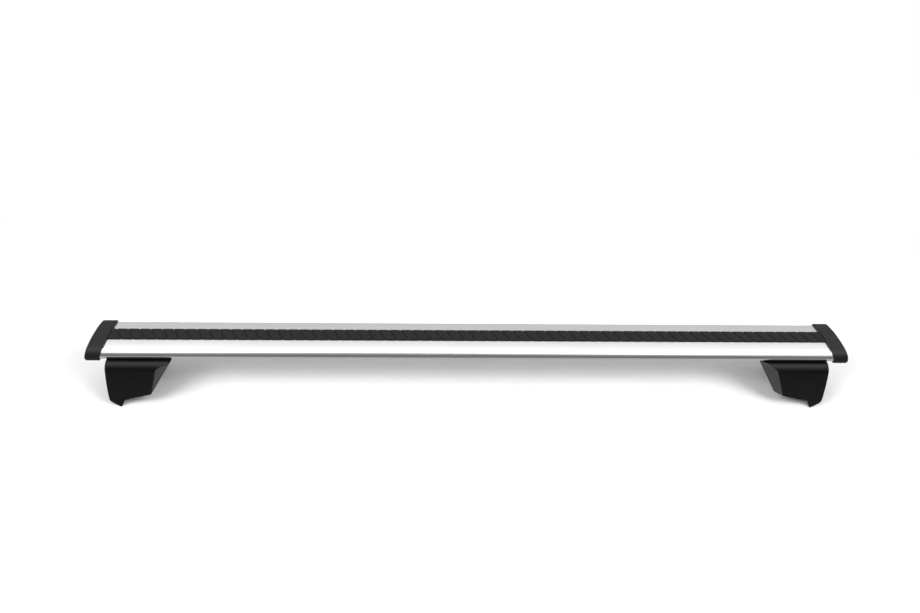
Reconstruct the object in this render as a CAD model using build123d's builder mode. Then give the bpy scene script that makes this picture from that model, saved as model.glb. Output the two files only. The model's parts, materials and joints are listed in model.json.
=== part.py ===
from build123d import *
from math import asin, degrees, hypot, radians, sqrt, tan
import os

# Roof rack crossbar: X runs along the bar, -Y is the front, +Z is up, the floor is z = 0.
# The right end is modelled. One foot moulding serves both ends, turned half a turn for the left,
# and the other pieces are mirrored.

# Crossbar section, measured from the bar's axis
bar_half = 530.8  # half the aluminium length, on the axis
end_rake = 5.7  # the ends slant in plan, longer at the front
end_mitre = 15.0  # and in the front view, longer underneath
nose_y = 31.2  # nose centres, front and back of the axis
nose_r = 8.6
crown = 11.0  # axis to the top
belly = 12.5  # axis to the underside
wall = 2.2
core_half = 13.0  # half the width of the solid core that holds both channels

# Top channel and rubber strip
strip_w = 25.0
strip_t = 3.4
strip_proud = 1.4
strip_round = 1.0
strip_side_gap = 0.3
top_slot_w = 11.0
top_lip_t = 2.0
top_tee_w = 20.0
top_tee_h = 5.8
anchor_w = 15.0  # rubber bulb that snaps behind the lips
anchor_t = 3.0
groove_pitch = 16.6
groove_w = 2.3
groove_depth = 1.5
groove_angle = 25.0

# Bottom channel, sliding plate and mounting screws
low_slot_w = 10.0
low_lip_t = 2.2
low_tee_w = 18.0
low_tee_h = 6.5
slide_gap = 0.3  # sliding plate to channel, and bar to saddle
plate_len = 56.0
plate_t = 5.0
mount_pitch = 32.0
mount_r = 3.0
mount_tip = 0.5  # screw end past the plate
mount_head_r = 5.0
mount_head_h = 6.0
mount_key = 5.0  # hexagon socket across flats
mount_washer_r = 6.0
mount_washer_t = 1.6
thread_gap = 0.05

# End caps
cap_len = 23.4
cap_lip = 2.8  # how far the cap stands proud of the bar
cap_bow = 2.4  # the outer end bows outwards in plan
cap_round = 4.0
cap_edge = 0.8
plug_depth = 22.0
plug_gap = 0.2

# Foot outline seen from the front
foot_inset = 3.0  # outer edge of the ledge to the bar's end
foot_height = 76.0  # floor to the ledge beside the bar
ledge_drop = 8.0  # bar axis to the ledge
foot_len = 79.6  # ledge length at the front face
cheek_bulge = 1.9
cheek_z = 33.0
hip_z = 9.5
hip_round = 9.0
tip_in = 13.8  # lip tip inside the ledge's outer edge
tip_flat = 3.2
seat_out_in = 21.4  # outer end of the rail seat, inside the ledge's outer edge
seat_out_z = 12.9
seat_len = 39.0
seat_rise = 9.5
seat_round = 2.5

# Foot's inner side: a face that slants under the foot, between a facet at each corner of the ledge
prow_reach = 21.9  # front facet, inside the front corner
prow_back = 13.9
heel_set = 6.0  # the back corner lies outside the front one
heel_reach = 18.8  # back facet, inside the back corner
heel_back = 5.9
inner_run = 31.7  # run of the inner face from the ledge to the seat

# Foot depth, walls and edges
foot_half = 50.0
brow_round = 12.0  # along the ledge, front and back
edge_round = 1.5
crease_round = 2.0
foot_wall = 4.0
side_wall = 6.0
floor_t = 5.0
roof_t = 4.7

# Rail pad in the seat and down the lip
pad_t = 2.5
pad_margin = 1.5  # pad's inner end to the jaw's slot
pad_drop = 9.0  # run down the lip
pad_side_gap = 0.3

# Inner jaw and clamp screw
jaw_t = 6.0
jaw_w = 32.0
jaw_low = 10.0
jaw_top = 52.0
jaw_set = 4.6  # jaw's back outside the seat's inner end
jaw_toe = 5.0
jaw_toe_h = 4.0
jaw_travel = 8.0
jaw_gap = 0.3
grip_t = 2.0
grip_h = 8.0
grip_edge = 2.0  # grip's side to the jaw's side
screw_z = 44.0
screw_r = 4.0
screw_tip = 2.6  # screw end past the nut
screw_gap = 0.08
head_r = 6.5
head_h = 8.0
head_key = 6.0
tip_chamfer = 0.6
nut_af = 13.0
nut_t = 6.5
web_t = 6.0
web_half = 13.0
web_top = 55.0
web_clear = 5.0  # jaw at full travel to the web
washer_r = 8.0
washer_t = 1.6
head_gap = 0.2

# Access cover, hinge and lock
cover_t = 4.0
cover_sink = 0.2
cover_gap = 0.6
cover_side_gap = 0.4
barrel_r = 3.2
barrel_gap = 0.4
barrel_rise = 1.6  # hinge axis above the bay floor
pin_r = 1.5
pin_gap = 0.05
pin_press = 0.02
pin_end = 2.0  # wall left over the pin's ends
lock_z = 48.0
lock_r = 6.0
lock_gap = 0.06
lock_len = 16.0
lock_rose_r = 7.2
lock_rose_t = 2.0
key_w = 1.2
key_h = 7.0
key_depth = 3.0
boss_r = 9.0
boss_len = 6.0
cam_t = 3.0
cam_reach = 15.0
cam_w = 9.0
cam_screw_r = 2.0
cam_screw_len = 9.0
cam_screw_head_r = 3.6
cam_screw_head_h = 2.2
cam_screw_key = 2.5
strike_gap = 0.8
strike_t = 3.0
strike_drop = 6.3
strike_half = 13.0

# Places worked out from the sizes above
far = 4 * foot_len
touch = 0.01  # how near an edge lies to a face that holds it
bar_axis_z = foot_height + ledge_drop
rake_run = tan(radians(end_rake))
mitre_run = tan(radians(end_mitre))
foot_out = bar_half - foot_inset
foot_in = foot_out - foot_len
inboard = foot_in - 2 * prow_reach  # past the foot's inner face
seat_out_x = foot_out - seat_out_in
seat_in_x = seat_out_x - seat_len
seat_in_z = seat_out_z + seat_rise
tip_x = foot_out - tip_in
roof_z = bar_axis_z - belly - slide_gap - roof_t
floor_z = seat_out_z + floor_t
cheek_x = foot_out + cheek_bulge
cheek_r = ((foot_height - cheek_z) ** 2 + cheek_bulge**2) / (2 * cheek_bulge)
jaw_back = seat_in_x + jaw_set
jaw_face = jaw_back + jaw_t
web_in = jaw_face + jaw_travel + web_clear
web_out = web_in + web_t
head_in = web_out + washer_t + head_gap
slot_in = jaw_back - jaw_gap
slot_out = jaw_face + jaw_travel + grip_t + jaw_gap
bay_half = foot_half - side_wall
hinge_z = floor_z + barrel_rise
cover_top = roof_z - cover_gap
mount_mid = foot_in + foot_len / 2
strip_floor = crown + strip_proud - strip_t
low_tee_floor = low_lip_t - belly
plate_z = bar_axis_z + low_tee_floor + slide_gap
plate_top = plate_z + plate_t
washer_low = roof_z - mount_washer_t
mount_x = (mount_mid - mount_pitch / 2, mount_mid + mount_pitch / 2)

bar_plane = Plane(origin=(0, 0, bar_axis_z), x_dir=(0, 1, 0), z_dir=(1, 0, 0))
right_end = Plane((bar_half, 0, bar_axis_z), x_dir=(-mitre_run, 0, 1), z_dir=(1, rake_run, mitre_run))
left_end = Plane((-bar_half, 0, bar_axis_z), x_dir=(mitre_run, 0, 1), z_dir=(-1, rake_run, mitre_run))

front_corner = Vector(foot_in, -foot_half, foot_height)
prow = Vector(foot_in - prow_reach, prow_back - foot_half, foot_height)
back_corner = Vector(foot_in + heel_set, foot_half, foot_height)
heel = back_corner - Vector(heel_reach, heel_back, 0)

os.makedirs("parts", exist_ok=True)


def wing_face(grow=0.0):
    # Wing section, grown all round: two noses joined by tangent crown and belly arcs
    nose = nose_r + grow
    top_r = (nose_y**2 + (crown + grow) ** 2 - nose**2) / (2 * (crown - nose_r))
    low_r = (nose_y**2 + (belly + grow) ** 2 - nose**2) / (2 * (belly - nose_r))
    top_turn = degrees(asin(nose_y / (top_r - nose)))
    low_turn = degrees(asin(nose_y / (low_r - nose)))
    nose_turn = 180 - top_turn - low_turn
    with BuildLine() as outline:
        CenterArc((0, crown + grow - top_r), top_r, 90 - top_turn, 2 * top_turn)
        CenterArc((-nose_y, 0), nose, 90 + top_turn, nose_turn)
        CenterArc((0, low_r - belly - grow), low_r, 270 - low_turn, 2 * low_turn)
        CenterArc((nose_y, 0), nose, low_turn - 90, nose_turn)
    make_face(outline.edges())


def band(width, low, high):
    # Rectangle centred on the section, between two heights
    with Locations((0, (low + high) / 2)):
        Rectangle(width, high - low)


def slab(x_low, x_high, z_low, z_high):
    # Rectangle in a front view, between two places and two heights
    with Locations(((x_low + x_high) / 2, (z_low + z_high) / 2)):
        Rectangle(x_high - x_low, z_high - z_low)


def cheek(z, depth=0.0):
    # Place on the foot's outer curve at a height, sunk below the surface
    return cheek_x - cheek_r + sqrt((cheek_r - depth) ** 2 - (z - cheek_z) ** 2)


def seat(x):
    # Height of the seat's underside
    return seat_out_z + (seat_out_x - x) * seat_rise / seat_len


def seat_band(low, high):
    # Strip of the front view that follows the seat and the lip, between two depths
    seat_run = hypot(seat_len, seat_rise)
    lip_x = tip_x - tip_flat / 2 - seat_out_x
    lip_run = hypot(lip_x, seat_out_z)
    seat_up = Vector(seat_rise, seat_len) / seat_run
    lip_up = Vector(seat_out_z, lip_x) / lip_run
    start = Vector(slot_out + pad_margin, seat(slot_out + pad_margin))
    corner = Vector(seat_out_x, seat_out_z)
    end = corner + Vector(lip_x, -seat_out_z) * (pad_drop / lip_run)
    mitre = (seat_up + lip_up) / (1 + seat_up.dot(lip_up))
    with BuildLine() as outline:
        Polyline(
            start + seat_up * low,
            corner + mitre * low,
            end + lip_up * low,
            end + lip_up * high,
            corner + mitre * high,
            start + seat_up * high,
            close=True,
        )
    make_face(outline.edges())


def trim_inner_side(inset=0.0):
    # Cuts along the inner face and its facets, each through two points of the ledge and falling to the seat
    facets = (
        (front_corner, prow, seat_in_x - front_corner.X),
        (prow, heel, inner_run),
        (heel, back_corner, seat_in_x - back_corner.X),
    )
    for start, end, run in facets:
        along = end - start
        facing = along.cross(Vector(run, 0, seat_in_z - foot_height))
        split(bisect_by=Plane(start, x_dir=along, z_dir=facing).offset(-inset), keep=Keep.BOTTOM)


def socket_screw(at, length, shank_r, top_r, top_h, key):
    # Socket head screw: the shank follows the plane's normal, the head sits behind the plane
    with BuildSketch(at) as shank:
        Circle(shank_r)
    extrude(shank.sketch, amount=length)
    with BuildSketch(at) as top:
        Circle(top_r)
    extrude(top.sketch, amount=-top_h)
    with BuildSketch(at.offset(-top_h)) as hexagon:
        RegularPolygon(key / 2, 6, major_radius=False)
    extrude(hexagon.sketch, amount=top_h / 2, mode=Mode.SUBTRACT)


hinge_x = cheek(hinge_z, cover_sink) - barrel_r
lock_face = cheek(lock_z + lock_rose_r, cover_sink)
lock_in = lock_face - lock_len
cam_in = lock_in - cam_t
strike_in = lock_in + strike_gap

clamp_plane = Plane(origin=(head_in, 0, screw_z), x_dir=(0, 1, 0), z_dir=(-1, 0, 0))
cam_plane = Plane(origin=(cam_in, 0, lock_z), x_dir=(0, 1, 0), z_dir=(1, 0, 0))
lock_plane = cam_plane.offset(cam_t)

# Aluminium crossbar: hollow wing with a channel along its top and another underneath
with BuildPart() as crossbar:
    with BuildSketch(bar_plane):
        wing_face()
    extrude(amount=bar_half + far, both=True)
    with BuildSketch(bar_plane):
        wing_face(-wall)
        Rectangle(2 * core_half, 4 * belly, mode=Mode.SUBTRACT)
    extrude(amount=bar_half + far, both=True, mode=Mode.SUBTRACT)
    with BuildSketch(bar_plane):
        band(strip_w + 2 * strip_side_gap, strip_floor, 2 * crown)
        band(top_slot_w, strip_floor - top_lip_t, 2 * crown)
        band(top_tee_w, strip_floor - top_lip_t - top_tee_h, strip_floor - top_lip_t)
        band(low_slot_w, -2 * belly, low_tee_floor)
        band(low_tee_w, low_tee_floor, low_tee_floor + low_tee_h)
    extrude(amount=bar_half + far, both=True, mode=Mode.SUBTRACT)
    split(bisect_by=right_end, keep=Keep.BOTTOM)
    split(bisect_by=left_end, keep=Keep.BOTTOM)

# Rubber strip: slanted grooves on top, a stem and bulb that snap into the top channel
with BuildPart() as top_strip:
    with BuildSketch(bar_plane) as strip_section:
        band(strip_w, strip_floor, strip_floor + strip_t)
        fillet(strip_section.vertices().group_by(Axis.Y)[-1], radius=strip_round)
        band(top_slot_w - 2 * strip_side_gap, strip_floor - top_lip_t - anchor_t, strip_floor)
        band(anchor_w, strip_floor - top_lip_t - anchor_t, strip_floor - top_lip_t)
    extrude(amount=bar_half + far, both=True)
    groove_count = int(2 * bar_half / groove_pitch)
    with BuildSketch(Plane.XY.offset(bar_axis_z + strip_floor + strip_t)):
        with GridLocations(groove_pitch, strip_w, groove_count, 1):
            Rectangle(groove_w, 2 * strip_w, rotation=groove_angle)
    extrude(amount=-groove_depth, mode=Mode.SUBTRACT)
    split(bisect_by=right_end, keep=Keep.BOTTOM)
    split(bisect_by=left_end, keep=Keep.BOTTOM)

# End cap: rounded head that covers the section, two plugs pressed into the hollow chambers
with BuildPart() as end_cap:
    with BuildSketch(bar_plane):
        wing_face(cap_lip)
    extrude(amount=bar_half + far)
    split(bisect_by=right_end, keep=Keep.TOP)
    with BuildSketch(Plane.XY.offset(bar_axis_z)):
        cap_out = bar_half + cap_len
        with BuildLine():
            ends = [(cap_out - cap_bow - rake_run * y, y) for y in (-foot_half, foot_half)]
            ThreePointArc(ends[0], (cap_out, 0), ends[1])
            Polyline(ends[1], (foot_in, foot_half), (foot_in, -foot_half), ends[0])
        make_face()
    extrude(amount=far, dir=(-mitre_run, 0, 1), both=True, mode=Mode.INTERSECT)
    fillet(end_cap.faces().sort_by(Axis.X)[-1].edges(), radius=cap_round)
    fillet(end_cap.faces().sort_by(Axis.X)[0].edges(), radius=cap_edge)
    with BuildSketch(bar_plane.offset(bar_half - plug_depth)):
        wing_face(-wall - plug_gap)
        Rectangle(2 * (core_half + plug_gap), 4 * belly, mode=Mode.SUBTRACT)
    extrude(amount=plug_depth + cap_len / 2)

# Space inside the foot: open on the outer side, where the cover closes it
with BuildPart() as bay:
    with BuildSketch(Plane.XZ):
        with BuildLine():
            Polyline(
                (inboard, seat(inboard) + floor_t),
                (seat_out_x, floor_z),
                (foot_out + far, floor_z),
                (foot_out + far, roof_z),
                (inboard, roof_z),
                close=True,
            )
        make_face()
    extrude(amount=bay_half, both=True)
    trim_inner_side(foot_wall)

# Foot body: saddle for the bar, seat and outer lip for the rail, web for the clamp screw
with BuildPart() as foot_body:
    with BuildSketch(Plane.XZ) as front_view:
        hip = (cheek(hip_z), hip_z)
        seat_end = (seat_out_x, seat_out_z)
        with BuildLine():
            ThreePointArc((foot_out, foot_height), (cheek_x, cheek_z), hip)
            Polyline(
                hip,
                (tip_x + tip_flat / 2, 0),
                (tip_x - tip_flat / 2, 0),
                seat_end,
                (inboard, seat(inboard)),
                (inboard, foot_height),
                (foot_out, foot_height),
            )
        make_face()
        fillet(front_view.vertices().sort_by_distance(hip)[0], radius=hip_round)
        fillet(front_view.vertices().sort_by_distance(seat_end)[0], radius=seat_round)
    extrude(amount=foot_half, both=True)
    trim_inner_side()
    with BuildSketch(bar_plane.offset(inboard)) as end_view:
        band(2 * foot_half, -bar_axis_z, -ledge_drop)
        fillet(end_view.vertices().group_by(Axis.Y)[-1], radius=brow_round)
    extrude(amount=far, mode=Mode.INTERSECT)
    flanks = foot_body.edges().filter_by(lambda e: abs(e.center().Y) > foot_half - touch)
    fillet(flanks.filter_by(lambda e: e.center().X > tip_x + tip_flat), radius=edge_round)
    flanks = foot_body.edges().filter_by(lambda e: abs(e.center().Y) > foot_half - touch)
    fillet(flanks.sort_by(Axis.X)[:2], radius=crease_round)
    add(bay.part, mode=Mode.SUBTRACT)
    with BuildSketch(Plane.XZ):
        slab(web_in, web_out, seat(web_out) + floor_t / 2, web_top)
    extrude(amount=web_half, both=True)
    with BuildSketch(Plane.XZ):
        slab(strike_in, strike_in + strike_t, roof_z - strike_drop, roof_z + roof_t / 2)
    extrude(amount=strike_half, both=True)
    with BuildSketch(Plane.XZ):
        slab(slot_in, slot_out, 0, seat(slot_in) + floor_t)
    extrude(amount=jaw_w / 2 + jaw_gap, both=True, mode=Mode.SUBTRACT)
    with BuildSketch(Plane.XZ):
        seat_band(-pad_t, pad_t)
    extrude(amount=bay_half, both=True, mode=Mode.SUBTRACT)
    with BuildSketch(Plane.XZ):
        with Locations((hinge_x, hinge_z)):
            Circle(barrel_r + barrel_gap)
        slab(hinge_x, cheek_x + far, hinge_z - barrel_r - barrel_gap, hinge_z)
    extrude(amount=bay_half, both=True, mode=Mode.SUBTRACT)
    with BuildSketch(Plane.XZ):
        with Locations((hinge_x, hinge_z)):
            Circle(pin_r + pin_press)
    extrude(amount=foot_half - pin_end, both=True, mode=Mode.SUBTRACT)
    with BuildSketch(bar_plane.offset(inboard)):
        wing_face(slide_gap)
    extrude(amount=far, mode=Mode.SUBTRACT)
    with BuildSketch(Plane.XY.offset(roof_z)):
        with Locations(*[(x, 0) for x in mount_x]):
            Circle(mount_r + slide_gap)
    extrude(amount=foot_height - roof_z, mode=Mode.SUBTRACT)
    with BuildSketch(clamp_plane):
        Circle(screw_r + screw_gap)
    extrude(amount=head_in - web_in, mode=Mode.SUBTRACT)

# Rubber pad on the seat and down the inside of the lip
with BuildPart() as rail_pad:
    with BuildSketch(Plane.XZ):
        seat_band(0, pad_t)
    extrude(amount=bay_half - pad_side_gap, both=True)

# Plate that slides in the bar's bottom channel and takes the mounting screws
with BuildPart() as slide_plate:
    with BuildSketch(Plane.XY.offset(plate_z)):
        with Locations((mount_mid, 0)):
            Rectangle(plate_len, low_tee_w - 2 * slide_gap)
        with Locations(*[(x, 0) for x in mount_x]):
            Circle(mount_r + thread_gap, mode=Mode.SUBTRACT)
    extrude(amount=plate_t)

# Screws that pull the foot up against the bar
with BuildPart() as mount_screws:
    for x in mount_x:
        seat_plane = Plane(origin=(x, 0, washer_low))
        length = plate_top + mount_tip - washer_low
        socket_screw(seat_plane, length, mount_r, mount_head_r, mount_head_h, mount_key)

with BuildPart() as mount_washers:
    with BuildSketch(Plane.XY.offset(washer_low)):
        with Locations(*[(x, 0) for x in mount_x]):
            Circle(mount_washer_r)
            Circle(mount_r + slide_gap, mode=Mode.SUBTRACT)
    extrude(amount=mount_washer_t)

# Inner jaw: arm through the seat's slot, with a toe that reaches under the rail
with BuildPart() as inner_jaw:
    with BuildSketch(Plane.XZ):
        slab(jaw_back, jaw_face, jaw_low, jaw_top)
        slab(jaw_back, jaw_face + jaw_toe, jaw_low, jaw_low + jaw_toe_h)
    extrude(amount=jaw_w / 2, both=True)
    with BuildSketch(clamp_plane):
        Circle(screw_r + jaw_gap)
    extrude(amount=far, mode=Mode.SUBTRACT)

with BuildPart() as jaw_grip:
    with BuildSketch(Plane.XZ):
        slab(jaw_face, jaw_face + grip_t, jaw_low + jaw_toe_h, jaw_low + jaw_toe_h + grip_h)
    extrude(amount=jaw_w / 2 - grip_edge, both=True)

with BuildPart() as jaw_nut:
    with BuildSketch(clamp_plane.offset(head_in - jaw_back)):
        RegularPolygon(nut_af / 2, 6, major_radius=False)
        Circle(screw_r + screw_gap, mode=Mode.SUBTRACT)
    extrude(amount=nut_t)

# Clamp screw: its head bears on the web and draws the jaw outwards
with BuildPart() as clamp_screw:
    reach = head_in - jaw_back + nut_t + screw_tip
    socket_screw(clamp_plane, reach, screw_r, head_r, head_h, head_key)
    chamfer(clamp_screw.faces().sort_by(Axis.X)[0].edges(), length=tip_chamfer)

with BuildPart() as clamp_washer:
    with BuildSketch(clamp_plane.offset(head_gap)):
        Circle(washer_r)
        Circle(screw_r + screw_gap, mode=Mode.SUBTRACT)
    extrude(amount=washer_t)

# Access cover: curved like the foot's outer side, with a hinge barrel along its lower edge
with BuildPart() as access_cover:
    back = cover_sink + cover_t
    middle = (hinge_z + cover_top) / 2
    with BuildSketch(Plane.XZ):
        with BuildLine():
            ThreePointArc(*[(cheek(z, cover_sink), z) for z in (hinge_z, middle, cover_top)])
            Line((cheek(cover_top, cover_sink), cover_top), (cheek(cover_top, back), cover_top))
            ThreePointArc(*[(cheek(z, back), z) for z in (cover_top, middle, hinge_z)])
            Line((cheek(hinge_z, back), hinge_z), (cheek(hinge_z, cover_sink), hinge_z))
        make_face()
        with Locations((hinge_x, hinge_z)):
            Circle(barrel_r)
    extrude(amount=bay_half - cover_side_gap, both=True)
    with BuildSketch(lock_plane.offset(lock_len - lock_rose_t - lock_gap)):
        Circle(boss_r)
    extrude(amount=-boss_len)
    with BuildSketch(lock_plane):
        Circle(lock_r + lock_gap)
    extrude(amount=2 * lock_len, mode=Mode.SUBTRACT)
    with BuildSketch(lock_plane.offset(lock_len - lock_rose_t - lock_gap)):
        Circle(lock_rose_r + lock_gap)
    extrude(amount=lock_len, mode=Mode.SUBTRACT)
    with BuildSketch(Plane.XZ):
        with Locations((hinge_x, hinge_z)):
            Circle(pin_r + pin_gap)
    extrude(amount=foot_half, both=True, mode=Mode.SUBTRACT)

with BuildPart() as hinge_pin:
    with BuildSketch(Plane.XZ):
        with Locations((hinge_x, hinge_z)):
            Circle(pin_r)
    extrude(amount=foot_half - pin_end, both=True)

# Lock: barrel with a front rim and a keyway, a cam screwed to its inner end
with BuildPart() as lock_barrel:
    with BuildSketch(lock_plane):
        Circle(lock_r)
    extrude(amount=lock_len)
    with BuildSketch(lock_plane.offset(lock_len - lock_rose_t)):
        Circle(lock_rose_r)
    extrude(amount=lock_rose_t)
    with BuildSketch(lock_plane.offset(lock_len)):
        Rectangle(key_w, key_h)
    extrude(amount=-key_depth, mode=Mode.SUBTRACT)
    with BuildSketch(lock_plane):
        Circle(cam_screw_r + thread_gap)
    extrude(amount=cam_screw_len, mode=Mode.SUBTRACT)

with BuildPart() as lock_cam:
    with BuildSketch(cam_plane):
        Circle(lock_r)
        with Locations((cam_reach / 2, 0)):
            Rectangle(cam_reach, cam_w)
        Circle(cam_screw_r + thread_gap, mode=Mode.SUBTRACT)
    extrude(amount=cam_t)

with BuildPart() as cam_screw:
    length = cam_t + cam_screw_len / 2
    socket_screw(cam_plane, length, cam_screw_r, cam_screw_head_r, cam_screw_head_h, cam_screw_key)

bar_pieces = {"crossbar": crossbar, "top_strip": top_strip}
sided_pieces = {
    "end_cap": end_cap,
    "foot_body": foot_body,
    "rail_pad": rail_pad,
    "slide_plate": slide_plate,
    "mount_screws": mount_screws,
    "mount_washers": mount_washers,
    "inner_jaw": inner_jaw,
    "jaw_grip": jaw_grip,
    "jaw_nut": jaw_nut,
    "clamp_screw": clamp_screw,
    "clamp_washer": clamp_washer,
    "access_cover": access_cover,
    "hinge_pin": hinge_pin,
    "lock_barrel": lock_barrel,
    "lock_cam": lock_cam,
    "cam_screw": cam_screw,
}

for name, piece in bar_pieces.items():
    piece.part.label = name
    export_step(piece.part, f"parts/{name}.step")

for name, right in sided_pieces.items():
    with BuildPart() as left:
        if right is foot_body:
            add(right.part, rotation=(0, 0, 180))
        else:
            mirror(right.part, about=Plane.YZ)
    right.part.label = f"{name}_right"
    left.part.label = f"{name}_left"
    export_step(right.part, f"parts/{name}_right.step")
    export_step(left.part, f"parts/{name}_left.step")
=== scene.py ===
import json
from math import asin, cos, floor, pi, radians, sin, tan

import bmesh
import bpy
from mathutils import Matrix, Vector


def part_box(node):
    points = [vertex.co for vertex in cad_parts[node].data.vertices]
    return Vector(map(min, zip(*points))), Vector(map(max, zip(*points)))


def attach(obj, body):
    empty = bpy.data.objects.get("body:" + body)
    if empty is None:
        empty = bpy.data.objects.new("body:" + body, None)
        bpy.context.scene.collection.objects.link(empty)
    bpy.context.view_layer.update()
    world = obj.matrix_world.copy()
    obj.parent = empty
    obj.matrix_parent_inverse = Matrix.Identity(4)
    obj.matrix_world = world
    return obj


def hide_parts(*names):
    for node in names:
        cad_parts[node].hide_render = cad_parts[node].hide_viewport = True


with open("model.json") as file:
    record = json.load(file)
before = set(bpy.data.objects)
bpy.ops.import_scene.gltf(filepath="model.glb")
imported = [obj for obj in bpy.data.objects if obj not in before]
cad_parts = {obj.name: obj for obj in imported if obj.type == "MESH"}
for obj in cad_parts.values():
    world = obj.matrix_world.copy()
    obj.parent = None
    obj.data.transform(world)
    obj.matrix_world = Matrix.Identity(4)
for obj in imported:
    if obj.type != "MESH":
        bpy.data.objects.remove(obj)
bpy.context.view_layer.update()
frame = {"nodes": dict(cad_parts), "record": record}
mm = 0.001  # sizes below are in millimetres unless a note says otherwise

bodyOf = {}
for bodyName, memberNames in frame["record"]["behaviour"]["bodies"].items():
    for memberName in memberNames:
        bodyOf[memberName] = bodyName
slotOf = {node: piece.data.materials[0].name for node, piece in frame["nodes"].items()}
sides = {"left": -1, "right": 1}


# Node maths

class Flow:
    # one node socket: plain operators on it add Math nodes
    def __init__(self, tree, socket=None):
        self.tree = tree
        self.socket = socket

    def node(self, kind, settings=None, inputs=None, out=0):
        made = self.tree.nodes.new(kind)
        for key, value in (settings or {}).items():
            if key == "stops":
                setStops(made.color_ramp, value)
            else:
                setattr(made, key, value)
        for key, value in (inputs or {}).items():
            self.feed(made.inputs[key], value)
        return Flow(self.tree, made.outputs[out] if made.outputs else None)

    def feed(self, target, value):
        if isinstance(value, Flow):
            self.tree.links.new(value.socket, target)
        else:
            target.default_value = value

    def maths(self, operation, first, second=0.0):
        return self.node("ShaderNodeMath", {"operation": operation}, {0: first, 1: second})

    def __add__(self, other):
        return self.maths("ADD", self, other)

    def __sub__(self, other):
        return self.maths("SUBTRACT", self, other)

    def __rsub__(self, other):
        return self.maths("SUBTRACT", other, self)

    def __mul__(self, other):
        return self.maths("MULTIPLY", self, other)

    def __truediv__(self, other):
        return self.maths("DIVIDE", self, other)


def setStops(ramp, stops):
    while len(ramp.elements) < len(stops):
        ramp.elements.new(1.0)
    for element, (place, grey) in zip(ramp.elements, stops):
        element.position = place
        element.color = (grey, grey, grey, 1.0)


# Camera

shot = {
    "imageWide": 920,  # pixels
    "focal": 1100,  # pixels
    "sensor": 36,
    "nearest": 10,
    "place": (-95.0, -1327.9, 1032.0),
    "pitch": 33.6545,  # degrees
    "yaw": 3.2844,
    "roll": 2.1642,
}


def aimCamera():
    data = bpy.data.cameras.new("photoCamera")
    data.sensor_width = shot["sensor"]
    data.lens = shot["focal"] * data.sensor_width / shot["imageWide"]
    data.clip_start = shot["nearest"] * mm
    camera = bpy.data.objects.new("photoCamera", data)
    bpy.context.scene.collection.objects.link(camera)
    turn = Matrix.Rotation(-radians(shot["yaw"]), 4, "Z")
    turn = turn @ Matrix.Rotation(pi / 2 - radians(shot["pitch"]), 4, "X")
    turn = turn @ Matrix.Rotation(radians(shot["roll"]), 4, "Z")
    camera.matrix_world = Matrix.Translation(Vector(shot["place"]) * mm) @ turn
    bpy.context.scene.camera = camera


# Studio

studio = {
    "floorHalf": 12.0,  # metres
    "floorGrey": 0.86,
    "litFloor": (0.8, 0.3),  # metres along and across, further out the paper is lit from behind
    "mirrored": (0.5, 0.16),  # floor brightness in glossy surfaces, near the bar and further out
    "mirrorFade": (0.1, 0.17),  # metres across, where the one turns into the other
    "keyAngle": 50,  # degrees above the front horizon
    "keyAway": 2.6,  # metres
    "keyAside": 1.5,  # metres, one softbox on each side
    "keySize": (1.4, 1.1),  # metres
    "keyPower": 62,  # watts each
    "fillHigh": 2.5,  # metres
    "fillSize": 6.0,  # metres
    "fillPower": 107,  # watts
    # sky brightness against the angle over the bar, front horizon 0 to back horizon 180
    "sky": (
        (0, 0.22),
        (17, 0.25),
        (38, 1.0),
        (60, 3.1),
        (105, 3.1),
        (122, 1.3),
        (135, 0.84),
        (145, 0.66),
        (180, 0.64),
    ),
    "shadeMiddle": -0.02,  # the front is dark further up in the middle, where someone stands
    "shadeHalf": 0.19,
    "shadeLift": 50,  # degrees at the horizon
    "shadeTop": 110,  # degrees
    "backdrop": 1.0,
}


def axesOf(flow, vector):
    split = flow.node("ShaderNodeSeparateXYZ", inputs={0: vector}).socket.node
    return [Flow(flow.tree, socket) for socket in split.outputs]


def ease(flow, value, start, end, first=0.0, last=1.0):
    inputs = {0: value, 1: start, 2: end, 3: first, 4: last}
    return flow.node("ShaderNodeMapRange", {"interpolation_type": "SMOOTHSTEP"}, inputs)


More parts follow.
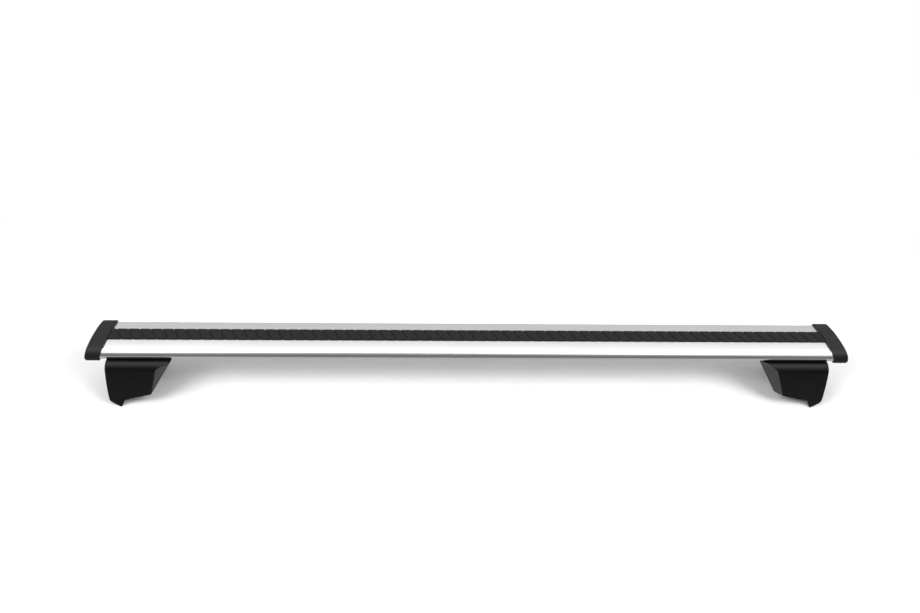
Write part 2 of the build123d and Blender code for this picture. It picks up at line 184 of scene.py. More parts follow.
def buildFloor():
    half = studio["floorHalf"]
    mesh = bpy.data.meshes.new("paperFloor")
    corners = [(-half, -half, 0), (half, -half, 0), (half, half, 0), (-half, half, 0)]
    mesh.from_pydata(corners, [], [(0, 1, 2, 3)])
    paper = bpy.data.objects.new("paperFloor", mesh)
    bpy.context.scene.collection.objects.link(paper)
    finish = bpy.data.materials.new("whitePaper")
    finish.use_nodes = True
    tree = finish.node_tree
    tree.nodes.clear()
    flow = Flow(tree)
    grey = (studio["floorGrey"],) * 3 + (1.0,)
    sheet = flow.node("ShaderNodeBsdfDiffuse", inputs={"Color": grey})
    glow = flow.node("ShaderNodeEmission", inputs={"Strength": studio["backdrop"]})
    spot = flow.node("ShaderNodeTexCoord", out="Object")
    along, across = studio["litFloor"]
    scaled = stretched(flow, spot, (1 / along, 1 / across, 1.0))
    away = flow.node("ShaderNodeVectorMath", {"operation": "LENGTH"}, {0: scaled}, out="Value")
    plain = flow.node("ShaderNodeMixShader", inputs={0: ease(flow, away, 1.0, 2.0), 1: sheet, 2: glow})
    glows = [{"Strength": bright} for bright in studio["mirrored"]]
    near, wide = [flow.node("ShaderNodeEmission", inputs=inputs) for inputs in glows]
    out = flow.maths("ABSOLUTE", axesOf(flow, spot)[1])
    fade = ease(flow, out, *studio["mirrorFade"])
    mirrored = flow.node("ShaderNodeMixShader", inputs={0: fade, 1: near, 2: wide})
    gloss = flow.node("ShaderNodeLightPath", out="Is Glossy Ray")
    both = flow.node("ShaderNodeMixShader", inputs={0: gloss, 1: plain, 2: mirrored})
    flow.node("ShaderNodeOutputMaterial", inputs={"Surface": both})
    mesh.materials.append(finish)


def areaLight(name, size, power, place):
    # rectangular lamp that faces the middle of the floor
    lamp = bpy.data.lights.new(name, "AREA")
    lamp.shape = "RECTANGLE"
    lamp.size, lamp.size_y = size
    lamp.energy = power
    light = bpy.data.objects.new(name, lamp)
    bpy.context.scene.collection.objects.link(light)
    light.location = place
    light.rotation_euler = (-Vector(place)).to_track_quat("-Z", "Y").to_euler()
    light.visible_camera = False
    light.visible_glossy = False  # the sky stands for the lamps in glossy surfaces


def buildLights():
    angle = radians(studio["keyAngle"])
    away, high = -cos(angle) * studio["keyAway"], sin(angle) * studio["keyAway"]
    for side, sign in sides.items():
        place = (sign * studio["keyAside"], away, high)
        areaLight(f"softbox.{side}", studio["keySize"], studio["keyPower"], place)
    wide = (studio["fillSize"], studio["fillSize"])
    areaLight("ceiling", wide, studio["fillPower"], (0, 0, studio["fillHigh"]))


def buildSky():
    world = bpy.data.worlds.new("studioSky")
    bpy.context.scene.world = world
    world.use_nodes = True
    world.cycles_visibility.diffuse = False  # the sky only shows in glossy surfaces
    tree = world.node_tree
    tree.nodes.clear()
    flow = Flow(tree)
    along, across, up = axesOf(flow, flow.node("ShaderNodeTexCoord", out="Generated"))
    angle = flow.maths("ARCTAN2", up, 0 - across) / pi
    aside = flow.maths("ABSOLUTE", along - studio["shadeMiddle"])
    lift = ease(flow, aside, 0.0, studio["shadeHalf"], studio["shadeLift"] / 180, 0.0)
    low = flow.maths("MAXIMUM", 1 - angle * (180 / studio["shadeTop"]), 0.0)
    stops = [(place / 180, grey) for place, grey in studio["sky"]]
    glow = flow.node("ShaderNodeValToRGB", {"stops": stops}, {0: angle - lift * low})
    sky = flow.node("ShaderNodeBackground", inputs={"Color": glow})
    plain = flow.node("ShaderNodeBackground", inputs={"Strength": studio["backdrop"]})
    plain.socket.node.inputs["Color"].default_value = (1.0, 1.0, 1.0, 1.0)
    seen = flow.node("ShaderNodeLightPath", out="Is Camera Ray")
    both = flow.node("ShaderNodeMixShader", inputs={0: seen, 1: sky, 2: plain})
    flow.node("ShaderNodeOutputWorld", inputs={"Surface": both})


# Finishes

def newFinish(name):
    finish = bpy.data.materials.new(name)
    finish.use_nodes = True
    tree = finish.node_tree
    shader = tree.nodes["Principled BSDF"]
    flow = Flow(tree)
    spot = flow.node("ShaderNodeTexCoord", out="Object")
    return finish, flow, spot, shader


def noise(flow, spot, scale, detail=2.0, rough=0.5):
    inputs = {"Vector": spot, "Scale": scale, "Detail": detail, "Roughness": rough}
    return flow.node("ShaderNodeTexNoise", inputs=inputs)


def stretched(flow, spot, scale):
    return flow.node("ShaderNodeMapping", {"vector_type": "POINT"}, {"Vector": spot, "Scale": scale})


def blendColours(flow, share, first, second):
    ends = [colour + (1.0,) if isinstance(colour, tuple) else colour for colour in (first, second)]
    inputs = {0: share, 6: ends[0], 7: ends[1]}
    return flow.node("ShaderNodeMix", {"data_type": "RGBA"}, inputs, out=2)


def facesInward(flow, spot):
    # 1 where a foot's surface looks towards the middle of the bar, the mask for the painted light there
    side = flow.maths("SIGN", axesOf(flow, spot)[0])
    lean = axesOf(flow, flow.node("ShaderNodeNewGeometry", out="True Normal"))[0]
    return ease(flow, side * lean * -1.0, *footInwardLight["lean"])


def bumps(flow, height, depth, strength):
    inputs = {"Height": height, "Distance": depth, "Strength": strength}
    return flow.node("ShaderNodeBump", inputs=inputs)


aluminium = {
    "light": (0.86, 0.865, 0.87),
    "dark": (0.79, 0.795, 0.805),
    "rough": (0.2, 0.3),
    "lines": (3.0, 900.0, 900.0),  # die lines per metre along, across and up
    "lineDepth": 0.000012,  # metres
    "linePower": 0.5,
    "lineShare": 0.6,  # of the tone, clouding gives the rest
    "cloud": 14.0,
}


def satinAluminium():
    finish, flow, spot, shader = newFinish("satinAluminium")
    dieLines = noise(flow, stretched(flow, spot, aluminium["lines"]), 1.0, 3.0, 0.6)
    cloud = noise(flow, spot, aluminium["cloud"], 3.0)
    share = aluminium["lineShare"]
    tone = dieLines * share + cloud * (1 - share)
    colour = blendColours(flow, tone, aluminium["dark"], aluminium["light"])
    flow.feed(shader.inputs["Base Color"], colour)
    shader.inputs["Metallic"].default_value = 1.0
    low, high = aluminium["rough"]
    flow.feed(shader.inputs["Roughness"], tone * (high - low) + low)
    relief = bumps(flow, dieLines, aluminium["lineDepth"], aluminium["linePower"])
    flow.feed(shader.inputs["Normal"], relief)
    return finish


def mouldedBlack(name, look, inner=None):
    # near-black plastic or rubber: fine grain, a little uneven in tone and gloss; given a second colour,
    # faces turned towards the bar's middle take it as painted light
    finish, flow, spot, shader = newFinish(name)
    grain = noise(flow, spot, look["grain"], 2.0, 0.6)
    cloud = noise(flow, spot, look["cloud"], 3.0)
    tone = grain * 0.5 + cloud * 0.5
    colour = blendColours(flow, tone, look["dark"], look["light"])
    # painted light: faces turned towards the bar's middle are made paler, standing in for the light they
    # catch
    if inner:
        colour = blendColours(flow, facesInward(flow, spot), colour, inner)
    flow.feed(shader.inputs["Base Color"], colour)
    low, high = look["rough"]
    flow.feed(shader.inputs["Roughness"], cloud * (high - low) + low)
    shader.inputs["Specular IOR Level"].default_value = look["gloss"]
    flow.feed(shader.inputs["Normal"], bumps(flow, grain, look["grainDepth"], look["grainPower"]))
    return finish


stripRubber = {
    "dark": (0.0045, 0.0045, 0.005),
    "light": (0.011, 0.011, 0.0115),
    "rough": (0.5, 0.7),
    "gloss": 0.12,
    "grain": 900.0,
    "cloud": 60.0,
    "grainDepth": 0.0002,
    "grainPower": 0.5,
}
capPlastic = {
    "dark": (0.004, 0.004, 0.0044),
    "light": (0.01, 0.01, 0.0106),
    "rough": (0.4, 0.55),
    "gloss": 0.18,
    "grain": 1300.0,
    "cloud": 40.0,
    "grainDepth": 0.00012,
    "grainPower": 0.5,
}
footPlastic = {
    "dark": (0.0015, 0.0015, 0.0017),
    "light": (0.0035, 0.0035, 0.0038),
    "rough": (0.3, 0.4),
    "gloss": 0.17,
    "grain": 1500.0,
    "cloud": 30.0,
    "grainDepth": 0.0001,
    "grainPower": 0.4,
}
# painted light on the feet's faces turned towards the bar's middle: a paler colour standing in for the
# light they catch
footInwardLight = {
    "tone": (0.042, 0.042, 0.043),
    "lean": (0.12, 0.25),  # of the normal along the bar, where the tone starts and is full
}
coverPlastic = dict(footPlastic, light=(0.006, 0.006, 0.0065), grain=1100.0)
padRubber = {
    "dark": (0.01, 0.01, 0.01),
    "light": (0.024, 0.024, 0.025),
    "rough": (0.7, 0.85),
    "gloss": 0.3,
    "grain": 700.0,
    "cloud": 80.0,
    "grainDepth": 0.0003,
    "grainPower": 0.5,
}
coatedSteel = {
    "dark": (0.012, 0.012, 0.013),
    "light": (0.024, 0.024, 0.026),
    "rough": (0.3, 0.42),
    "gloss": 0.5,
    "grain": 260.0,
    "cloud": 50.0,
    "grainDepth": 0.00008,
    "grainPower": 0.3,
}


def platedMetal(name, look):
    # zinc or nickel plate: faint mottling and fine scuffs
    finish, flow, spot, shader = newFinish(name)
    mottle = noise(flow, spot, look["mottle"], 4.0, 0.6)
    scuffs = noise(flow, stretched(flow, spot, look["scuffs"]), 1.0, 3.0, 0.7)
    tone = mottle * 0.6 + scuffs * 0.4
    flow.feed(shader.inputs["Base Color"], blendColours(flow, tone, look["dark"], look["light"]))
    shader.inputs["Metallic"].default_value = 1.0
    low, high = look["rough"]
    flow.feed(shader.inputs["Roughness"], tone * (high - low) + low)
    flow.feed(shader.inputs["Normal"], bumps(flow, scuffs, look["scuffDepth"], 0.4))
    return finish


zincSteel = {
    "dark": (0.5, 0.51, 0.52),
    "light": (0.7, 0.71, 0.7),
    "rough": (0.26, 0.42),
    "mottle": 220.0,
    "scuffs": (400.0, 1800.0, 900.0),
    "scuffDepth": 0.00002,
}
lockNickel = {
    "dark": (0.68, 0.68, 0.67),
    "light": (0.82, 0.82, 0.81),
    "rough": (0.12, 0.26),
    "mottle": 150.0,
    "scuffs": (300.0, 1500.0, 1500.0),
    "scuffDepth": 0.000012,
}


def mixFinishes():
    return {
        "satin_aluminium": satinAluminium(),
        "strip_rubber": mouldedBlack("ribbedRubber", stripRubber),
        "cap_plastic": mouldedBlack("capPlastic", capPlastic),
        # the foot plastic carries painted light on its faces turned towards the bar's middle
        "foot_plastic": mouldedBlack("footPlastic", footPlastic, footInwardLight["tone"]),
        "cover_plastic": mouldedBlack("coverPlastic", coverPlastic),
        "pad_rubber": mouldedBlack("padRubber", padRubber),
        "coated_steel": mouldedBlack("coatedSteel", coatedSteel),
        "zinc_steel": platedMetal("zincSteel", zincSteel),
        "lock_chrome": platedMetal("lockNickel", lockNickel),
    }


# Piece helpers

def linkPiece(name, mesh):
    piece = bpy.data.objects.new(name, mesh)
    bpy.context.scene.collection.objects.link(piece)
    return piece


def settle(piece, node, sharpAngle=35):
    # the piece takes the node's place, body and finish
    mesh = piece.data
    mesh.materials.clear()
    mesh.materials.append(finishes[slotOf[node]])
    mesh.shade_smooth()
    mesh.set_sharp_from_angle(angle=radians(sharpAngle))
    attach(piece, bodyOf[node])
    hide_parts(node)
    return piece


def meshFromBmesh(name, work):
    bmesh.ops.recalc_face_normals(work, faces=work.faces)
    mesh = bpy.data.meshes.new(name)
    work.to_mesh(mesh)
    work.free()
    return mesh


softening = {
    "weld": 0.002,
    "flat": 0.5,  # degrees, faces closer than this are joined
    "sharp": 30,  # degrees, edges beyond this are rounded
    "segments": 2,
}


def softenedCopy(node, name, edgeRound):
    # the node's own solid, with its sharp edges slightly rounded
    work = bmesh.new()
    work.from_mesh(frame["nodes"][node].data)
    bmesh.ops.remove_doubles(work, verts=work.verts, dist=softening["weld"] * mm)
    flat = radians(softening["flat"])
    bmesh.ops.dissolve_limit(work, angle_limit=flat, verts=work.verts, edges=work.edges)
    limit = radians(softening["sharp"])
    sharp = [edge for edge in work.edges if edge.is_manifold and edge.calc_face_angle() > limit]
    bmesh.ops.bevel(
        work,
        geom=sharp,
        offset=edgeRound * mm,
        segments=softening["segments"],
        profile=0.5,
        affect="EDGES",
        clamp_overlap=True,
    )
    piece = linkPiece(name, meshFromBmesh(name, work))
    return settle(piece, node)


def ringStack(name, rings, steps, place, through=False):
    # rings are (height, radius), the radius a number or a function of the angle and height
    work = bmesh.new()
    rows = []
    for height, radius in rings:
        row = []
        for step in range(steps):
            angle = 2 * pi * step / steps
            reach = radius(angle, height) if callable(radius) else radius
            row.append(work.verts.new((reach * cos(angle) * mm, reach * sin(angle) * mm, height * mm)))
        rows.append(row)
    pairs = list(zip(rows, rows[1:]))
    if through:
        pairs.append((rows[-1], rows[0]))
    for low, high in pairs:
        for step in range(steps):
            after = (step + 1) % steps
            work.faces.new((low[step], low[after], high[after], high[step]))
    if not through:
        work.faces.new(rows[0])
        work.faces.new(rows[-1])
    mesh = meshFromBmesh(name, work)
    mesh.transform(place)
    return mesh


def axisPlace(origin, direction):
    # local +Z runs along the direction, from the origin in metres
    turn = Vector(direction).to_track_quat("Z", "Y").to_matrix().to_4x4()
    return Matrix.Translation(origin) @ turn


def hexagon(acrossFlats):
    def reach(angle, height):
        return acrossFlats / 2 / cos((angle + pi / 6) % (pi / 3) - pi / 6)
    return reach


# Aluminium bar

wing = {
    "halfLength": 530.8,
    "rake": 5.7,  # degrees, the ends are longer at the front
    "mitre": 15.0,  # degrees, and longer underneath
    "axisUp": 84.0,
    "noseOut": 31.2,
    "noseRadius": 8.6,
    "crown": 11.0,
    "belly": 12.5,
    "wall": 2.2,
    "coreHalf": 13.0,
    "recessHalf": 12.8,
    "recessFloor": 9.0,
    "topSlotHalf": 5.5,
    "topLip": 2.0,
    "topTeeHalf": 10.0,
    "topTeeDeep": 5.8,
    "lowSlotHalf": 5.0,
    "lowLip": 2.2,
    "lowTeeHalf": 9.0,
    "lowTeeDeep": 6.5,
    "mouthRound": 0.2,
    "cornerRound": 0.6,
    "noseSteps": 44,
    "skinSteps": 12,
}


class WingShape:
    # crown, nose and belly arcs of the section, grown all round
    def __init__(self, grow=0.0):
        self.noseRadius = wing["noseRadius"] + grow
        self.crown = wing["crown"] + grow
        self.belly = wing["belly"] + grow
        self.topRadius = self.skinRadius(self.crown, wing["crown"])
        self.lowRadius = self.skinRadius(self.belly, wing["belly"])
        self.topTurn = asin(wing["noseOut"] / (self.topRadius - self.noseRadius))
        self.lowTurn = asin(wing["noseOut"] / (self.lowRadius - self.noseRadius))

    def skinRadius(self, rise, plainRise):
        squares = wing["noseOut"] ** 2 + rise**2 - self.noseRadius**2
        return squares / (2 * (plainRise - wing["noseRadius"]))

    def top(self, turn):
        return self.topRadius * sin(turn), self.crown - self.topRadius * (1 - cos(turn))

    def low(self, turn):
        return self.lowRadius * sin(turn), self.lowRadius * (1 - cos(turn)) - self.belly

    def skin(self, topFrom, lowFrom):
        # from the top surface at one distance out, round the nose, to the belly at another
        first = asin(topFrom / self.topRadius)
        last = asin(lowFrom / self.lowRadius)
        points = []
        steps = wing["skinSteps"]
        for step in range(steps):
            points.append(self.top(first + (self.topTurn - first) * step / steps))
        turnSpan = pi - self.topTurn - self.lowTurn
        for step in range(wing["noseSteps"] + 1):
            angle = pi / 2 - self.topTurn - turnSpan * step / wing["noseSteps"]
            out = wing["noseOut"] + self.noseRadius * cos(angle)
            points.append((out, self.noseRadius * sin(angle)))
        for step in range(1, steps + 1):
            points.append(self.low(self.lowTurn + (last - self.lowTurn) * step / steps))
        return points


def roundCorner(before, corner, after, radius, steps=4):
    # arc that meets both sides of a corner, as points
    corner = Vector(corner)
    inward = (Vector(before) - corner).normalized()
    outward = (Vector(after) - corner).normalized()
    half = inward.angle(outward) / 2
    start = corner + inward * radius / tan(half)
    end = corner + outward * radius / tan(half)
    centre = corner + (inward + outward).normalized() * radius / sin(half)
    points = []
    for step in range(steps + 1):
        along = (start - centre).slerp(end - centre, step / steps)
        points.append(tuple(centre + along.normalized() * radius))
    return points


def roundedLoop(corners):
    # corners are (out, up, radius), a radius of zero leaves the point as it is
    points = []
    for index, (out, up, radius) in enumerate(corners):
        if radius:
            before = corners[index - 1][:2]
            after = corners[(index + 1) % len(corners)][:2]
            points += roundCorner(before, (out, up), after, radius)
        else:
            points.append((out, up))
    return points


def barLoops():
    shape = WingShape()
    mouth = wing["mouthRound"]
    corner = wing["cornerRound"]
    slotLow = wing["recessFloor"] - wing["topLip"]
    teeLow = slotLow - wing["topTeeDeep"]
    lowFloor = wing["lowLip"] - wing["belly"]
    lowTop = lowFloor + wing["lowTeeDeep"]
    skin = shape.skin(wing["recessHalf"], wing["lowSlotHalf"])
    half = [
        (wing["topTeeHalf"], teeLow, corner),
        (wing["topTeeHalf"], slotLow, corner),
        (wing["topSlotHalf"], slotLow, mouth),
        (wing["topSlotHalf"], wing["recessFloor"], mouth),
        (wing["recessHalf"], wing["recessFloor"], mouth),
        (*skin[0], mouth),
        *[(out, up, 0) for out, up in skin[1:-1]],
        (*skin[-1], mouth),
        (wing["lowSlotHalf"], lowFloor, mouth),
        (wing["lowTeeHalf"], lowFloor, corner),
        (wing["lowTeeHalf"], lowTop, corner),
    ]
    outer = half + [(-out, up, radius) for out, up, radius in reversed(half)]
    hollow = WingShape(-wing["wall"]).skin(wing["coreHalf"], wing["coreHalf"])
    chamber = [
        (*hollow[0], corner),
        *[(out, up, 0) for out, up in hollow[1:-1]],
        (*hollow[-1], corner),
    ]
    mirrored = [(-out, up, radius) for out, up, radius in reversed(chamber)]
    return [roundedLoop(loop) for loop in (outer, chamber, mirrored)]


def endSlopes():
    return tan(radians(wing["rake"])), tan(radians(wing["mitre"]))


def buildBar():
    section = bpy.data.curves.new("wingSection", "CURVE")
    section.dimensions = "2D"
    section.fill_mode = "BOTH"
    section.extrude = wing["halfLength"] * mm
    for loop in barLoops():
        line = section.splines.new("POLY")
        line.points.add(len(loop) - 1)
        for point, (out, up) in zip(line.points, loop):
            point.co = (out * mm, up * mm, 0, 1)
        line.use_cyclic_u = True
    carrier = bpy.data.objects.new("wingSection", section)
    bpy.context.scene.collection.objects.link(carrier)
    mesh = bpy.data.meshes.new_from_object(carrier)
    bpy.data.objects.remove(carrier)
    slant, lean = endSlopes()
    for vertex in mesh.vertices:
        out, up, along = vertex.co
        end = wing["halfLength"] * mm - out * slant - up * lean
        vertex.co = (end if along > 0 else -end, out, up + wing["axisUp"] * mm)
    work = bmesh.new()
    work.from_mesh(mesh)
    bpy.data.meshes.remove(mesh)
    bmesh.ops.remove_doubles(work, verts=work.verts, dist=0.001 * mm)
    bar = linkPiece("barExtrusion", meshFromBmesh("barExtrusion", work))
    settle(bar, "crossbar", 25)
    print("bar", len(bar.data.polygons))


# Rubber strip

strip = {
    "half": 12.5,
    "floor": 9.0,  # above the bar's axis
    "top": 12.4,
    "edgeRound": 1.0,
    "edgeSteps": 4,
    "topSteps": 6,
    "stemHalf": 5.2,
    "lipLow": 7.0,
    "bulbHalf": 7.5,
    "bulbLow": 4.0,
    "bulbSlope": 1.0,
    "pitch": 16.6,
    "grooves": 63,
    "grooveTurn": 25.0,  # degrees
    # groove section: distance from its middle, depth
    "groove": (
        (0.0, 1.5),
        (0.6, 1.47),
        (0.9, 1.3),
        (1.08, 0.85),
        (1.2, 0.35),
        (1.38, 0.1),
        (1.7, 0.0),
    ),
}


def stripSection():
    half, top, edge = strip["half"], strip["top"], strip["edgeRound"]
    right = []
    for step in range(strip["topSteps"] // 2 + 1):
        right.append(((half - edge) * 2 * step / strip["topSteps"], top))
    for step in range(1, strip["edgeSteps"] + 1):
        turn = pi / 2 * step / strip["edgeSteps"]
        right.append((half - edge + edge * sin(turn), top - edge + edge * cos(turn)))
    right.append((half, strip["floor"] + edge))
    right.append((half, strip["floor"]))
    right.append((strip["stemHalf"], strip["floor"]))
    right.append((strip["stemHalf"], strip["lipLow"]))
    right.append((strip["bulbHalf"], strip["lipLow"]))
    right.append((strip["bulbHalf"], strip["bulbLow"] + strip["bulbSlope"]))
    right.append((strip["bulbHalf"] - strip["bulbSlope"], strip["bulbLow"]))
    return right + [(-out, up) for out, up in reversed(right[1:])]


def stripStations():
    # places along the bar, with the groove depth at each
    first = -(strip["grooves"] - 1) / 2 * strip["pitch"]
    otherHalf = [(-place, depth) for place, depth in reversed(strip["groove"][1:])]
    profile = otherHalf + list(strip["groove"])
    slant = cos(radians(strip["grooveTurn"]))
    beyond = wing["halfLength"] + 2 * strip["half"]
    stations = [(-beyond, 0.0)]
    for count in range(strip["grooves"]):
        middle = first + count * strip["pitch"]
        stations += [(middle + place / slant, depth) for place, depth in profile]
        stations.append((middle + strip["pitch"] / 2, 0.0))
    stations.append((beyond, 0.0))
    return stations


def cutEnd(work, side):
    # trims a mesh at the bar's slanted end and closes it
    slant, lean = endSlopes()
    everything = work.verts[:] + work.edges[:] + work.faces[:]
    bmesh.ops.bisect_plane(
        work,
        geom=everything,
        dist=0.0001 * mm,
        plane_co=(side * wing["halfLength"] * mm, 0, wing["axisUp"] * mm),
        plane_no=(side, slant, lean),
        clear_outer=True,
    )
    rim = [edge for edge in work.edges if edge.is_boundary]
    near = [edge for edge in rim if edge.verts[0].co.x * side > 0]
    bmesh.ops.contextual_create(work, geom=near)


def buildStrip():
    section = stripSection()
    slope = tan(radians(strip["grooveTurn"]))
    work = bmesh.new()
    rows = []
    for place, depth in stripStations():
        row = []
        for out, up in section:
            height = min(up, strip["top"] - depth) + wing["axisUp"]
            row.append(work.verts.new(((place - out * slope) * mm, out * mm, height * mm)))
        rows.append(row)
    count = len(section)
    for low, high in zip(rows, rows[1:]):
        for index in range(count):
            after = (index + 1) % count
            work.faces.new((low[index], low[after], high[after], high[index]))
    for side in sides.values():
        cutEnd(work, side)
    rubber = linkPiece("ribbedStrip", meshFromBmesh("ribbedStrip", work))
    settle(rubber, "top_strip", 40)
    print("strip", len(rubber.data.polygons))


# Screws, nuts, washers and pins

clampScrew = {
    "shankRadius": 4.0,
    "headHigh": 8.0,
    "key": 6.0,
    "pitch": 1.25,
    "knurls": 36,
    "plain": 8.0,
    "bore": 4.08,  # radius in its washer and nut
}
mountScrew = {
    "shankRadius": 3.0,
    "headHigh": 6.0,
    "key": 5.0,
    "pitch": 1.0,
    "knurls": 30,
    "plain": 4.0,
    "bore": 3.3,  # radius in its washers
}
camScrew = {
    "shankRadius": 2.0,
    "headHigh": 2.2,
    "key": 2.5,
    "pitch": 0.7,
    "knurls": 24,
    "plain": 0.6,
}
turnedParts = {
    "threadShare": 0.6,  # thread depth against its pitch
    "threadRows": 8,  # rings to each turn
    "knurlDeep": 0.12,
    "headChamfer": 0.5,
    "edge": 0.25,
    "washerSteps": 64,
    "nutSteps": 72,
    "nutFace": 0.96,  # round face of a nut against its width over flats
    "nutSlope": 30,  # degrees
    "pinSteps": 32,
}


def threadedScrew(name, origin, direction, headRadius, reach, look):
    shank = look["shankRadius"]
    pitch = look["pitch"]
    deep = pitch * turnedParts["threadShare"]
    high = look["headHigh"]
    chamfer = turnedParts["headChamfer"]
    edge = turnedParts["edge"]
    threadFrom = look["plain"]

    def thread(angle, height):
        phase = height / pitch - angle / (2 * pi)
        ridge = abs(2 * (phase - floor(phase)) - 1)
        fade = min(1.0, (height - threadFrom) / pitch)
        taper = max(0.0, height - (reach - pitch)) / pitch * deep
        return min(shank - deep * fade * (1 - ridge), shank - taper)

    def knurl(angle, height):
        return headRadius - turnedParts["knurlDeep"] * (0.5 + 0.5 * cos(look["knurls"] * angle))

    socket = hexagon(look["key"])
    rings = [
        (-high / 2, socket),
        (-high + edge, socket),
        (-high, lambda angle, height: socket(angle, height) + edge),
        (-high, headRadius - chamfer),
        (-high + chamfer, knurl),
        (-edge, knurl),
        (0, headRadius - edge),
        (0, shank + edge),
        (edge, shank),
        (threadFrom, shank),
    ]
    rowGap = pitch / turnedParts["threadRows"]
    for row in range(1, int((reach - threadFrom) / rowGap)):
        rings.append((threadFrom + row * rowGap, thread))
    rings.append((reach, shank - deep))
    steps = 2 * look["knurls"]
    mesh = ringStack(name, rings, steps, axisPlace(origin, direction))
    return linkPiece(name, mesh)


def washerMesh(name, origin, direction, outer, inner, thick):
    edge = turnedParts["edge"]
    rings = [
        (edge, outer),
        (thick - edge, outer),
        (thick, outer - edge),
        (thick, inner + edge),
        (thick - edge, inner),
        (edge, inner),
        (0, inner + edge),
        (0, outer - edge),
    ]
    steps = turnedParts["washerSteps"]
    return ringStack(name, rings, steps, axisPlace(origin, direction), through=True)


def hexNut(name, node, origin, direction, acrossFlats, bore, thick):
    corner = acrossFlats / 2 / cos(pi / 6)
    flat = hexagon(acrossFlats)
    slope = tan(radians(turnedParts["nutSlope"]))
    face = acrossFlats / 2 * turnedParts["nutFace"]

    def chamfered(angle, height):
        gone = min(height, thick - height)
        return min(flat(angle, height), face + gone / slope)

    edge = turnedParts["edge"]
    run = (corner - face) * slope
    heights = [0, run / 3, run * 2 / 3, run]
    heights += [thick - height for height in reversed(heights)]
    rings = [(height, chamfered) for height in heights]
    rings += [(thick, bore + 2 * edge), (thick - 2 * edge, bore), (2 * edge, bore), (0, bore + 2 * edge)]
    place = axisPlace(origin, direction)
    mesh = ringStack(name, rings, turnedParts["nutSteps"], place, through=True)
    return settle(linkPiece(name, mesh), node)


def buildFasteners(side, sign):
    low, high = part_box(f"clamp_screw_{side}")
    middle = (low + high) / 2
    headRadius = (high.z - low.z) / 2 / mm
    reach = (high.x - low.x) / mm - clampScrew["headHigh"]
    outer = high.x if sign > 0 else low.x
    origin = Vector((outer - sign * clampScrew["headHigh"] * mm, middle.y, middle.z))
    inward = (-sign, 0, 0)
    name = f"clampScrew.{side}"
    screw = threadedScrew(name, origin, inward, headRadius, reach, clampScrew)
    settle(screw, f"clamp_screw_{side}")

    low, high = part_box(f"clamp_washer_{side}")
    outer = high.x if sign > 0 else low.x
    origin = Vector((outer, middle.y, middle.z))
    name = f"clampWasher.{side}"
    washerRadius = (high.z - low.z) / 2 / mm
    thick = (high.x - low.x) / mm
    mesh = washerMesh(name, origin, inward, washerRadius, clampScrew["bore"], thick)
    settle(linkPiece(name, mesh), f"clamp_washer_{side}")

    low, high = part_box(f"jaw_nut_{side}")
    outer = high.x if sign > 0 else low.x
    origin = Vector((outer, middle.y, middle.z))
    flats = (high.z - low.z) / mm
    thick = (high.x - low.x) / mm
    hexNut(f"jawNut.{side}", f"jaw_nut_{side}", origin, inward, flats, clampScrew["bore"], thick)

    low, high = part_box(f"mount_screws_{side}")
    headRadius = (high.y - low.y) / 2 / mm
    seat = low.z + mountScrew["headHigh"] * mm
    reach = (high.z - seat) / mm
    pair = bmesh.new()
    rings = bmesh.new()
    washerLow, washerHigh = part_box(f"mount_washers_{side}")
    washerRadius = (washerHigh.y - washerLow.y) / 2 / mm
    thick = (washerHigh.z - washerLow.z) / mm
    upward = (0, 0, 1)
    for x in (low.x + headRadius * mm, high.x - headRadius * mm):
        origin = Vector((x, 0, seat))
        single = threadedScrew("mountScrew", origin, upward, headRadius, reach, mountScrew)
        pair.from_mesh(single.data)
        bpy.data.objects.remove(single)
        origin = Vector((x, 0, washerLow.z))
        bore = mountScrew["bore"]
        rings.from_mesh(washerMesh("mountWasher", origin, upward, washerRadius, bore, thick))
    gathered = {"mountScrews": ("mount_screws", pair), "mountWashers": ("mount_washers", rings)}
    for label, (node, work) in gathered.items():
        name = f"{label}.{side}"
        settle(linkPiece(name, meshFromBmesh(name, work)), f"{node}_{side}")

    low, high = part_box(f"hinge_pin_{side}")
    radius = (high.z - low.z) / 2 / mm
    length = (high.y - low.y) / mm
    edge = turnedParts["edge"]
    profile = [(0, radius - edge), (edge, radius), (length - edge, radius), (length, radius - edge)]
    origin = Vector(((low.x + high.x) / 2, low.y, (low.z + high.z) / 2))
    name = f"hingePin.{side}"
    pin = ringStack(name, profile, turnedParts["pinSteps"], axisPlace(origin, (0, 1, 0)))
    settle(linkPiece(name, pin), f"hinge_pin_{side}")


# Lock

lock = {
    "bodyRadius": 6.0,
    "rimThick": 2.0,
    "rimRound": 0.5,
    "faceRadius": 5.0,
    "faceDrop": 0.4,
    "keyWide": 1.2,
    "keyHigh": 7.0,
    "keyDeep": 3.0,
    "arcShare": 0.3,  # how far in the middle of a quarter round lies
    "tiny": 0.001,
    "steps": 72,
}


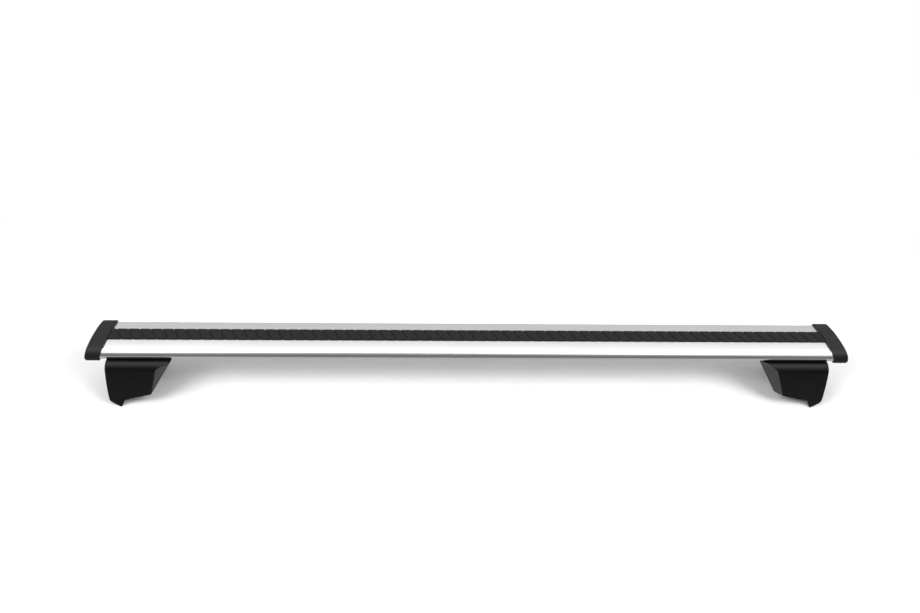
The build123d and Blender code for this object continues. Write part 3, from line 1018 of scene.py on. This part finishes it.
def buildLock(side, sign):
    low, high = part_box(f"lock_barrel_{side}")
    middle = (low + high) / 2
    length = (high.x - low.x) / mm
    rim = (high.z - low.z) / 2 / mm
    inner = low.x if sign > 0 else high.x
    curve, drop = lock["rimRound"], lock["faceDrop"]
    halfway = curve * lock["arcShare"]
    under = length - lock["rimThick"]
    face = length - drop

    def keyway(angle, height):
        wide = lock["keyWide"] / 2 / max(abs(sin(angle)), lock["tiny"])
        tall = lock["keyHigh"] / 2 / max(abs(cos(angle)), lock["tiny"])
        return min(wide, tall)

    rings = [
        (0, lock["bodyRadius"] - curve),
        (curve, lock["bodyRadius"]),
        (under, lock["bodyRadius"]),
        (under, rim - curve / 2),
        (under + curve / 2, rim),
        (length - curve, rim),
        (length - halfway, rim - halfway),
        (length, rim - curve),
        (length, lock["faceRadius"] + drop),
        (face, lock["faceRadius"]),
        (face, keyway),
        (face - lock["keyDeep"] + drop, keyway),
    ]
    origin = Vector((inner, middle.y, middle.z))
    turn = Matrix.Rotation(pi / 2, 4, "Z")
    name = f"lockBarrel.{side}"
    mesh = ringStack(name, rings, lock["steps"], axisPlace(origin, (sign, 0, 0)) @ turn)
    settle(linkPiece(name, mesh), f"lock_barrel_{side}", 30)

    low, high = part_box(f"cam_screw_{side}")
    headRadius = (high.z - low.z) / 2 / mm
    reach = (high.x - low.x) / mm - camScrew["headHigh"]
    inner = low.x if sign > 0 else high.x
    origin = Vector((inner + sign * camScrew["headHigh"] * mm, middle.y, middle.z))
    outward = (sign, 0, 0)
    screw = threadedScrew(f"camScrew.{side}", origin, outward, headRadius, reach, camScrew)
    settle(screw, f"cam_screw_{side}")


# Pieces that keep the solid's form, with softer edges

softened = {
    "slide_plate": ("slidePlate", 0.4),
    "inner_jaw": ("innerJaw", 0.6),
    "jaw_grip": ("jawGrip", 0.5),
    "rail_pad": ("railPad", 0.5),
    "lock_cam": ("lockCam", 0.3),
}


def dressNodes():
    # solids whose own shape is right keep it and take the finish
    for node, piece in frame["nodes"].items():
        piece.data.materials.clear()
        piece.data.materials.append(finishes[slotOf[node]])


bpy.context.scene.view_settings.view_transform = "Standard"
aimCamera()
buildFloor()
buildLights()
buildSky()
print("studio ready")
finishes = mixFinishes()
dressNodes()
buildBar()
buildStrip()
for sideName, sideSign in sides.items():
    buildFasteners(sideName, sideSign)
    buildLock(sideName, sideSign)
    for solid, (pieceName, edgeRound) in softened.items():
        softenedCopy(f"{solid}_{sideName}", f"{pieceName}.{sideName}", edgeRound)
    print("foot dressed", sideName)
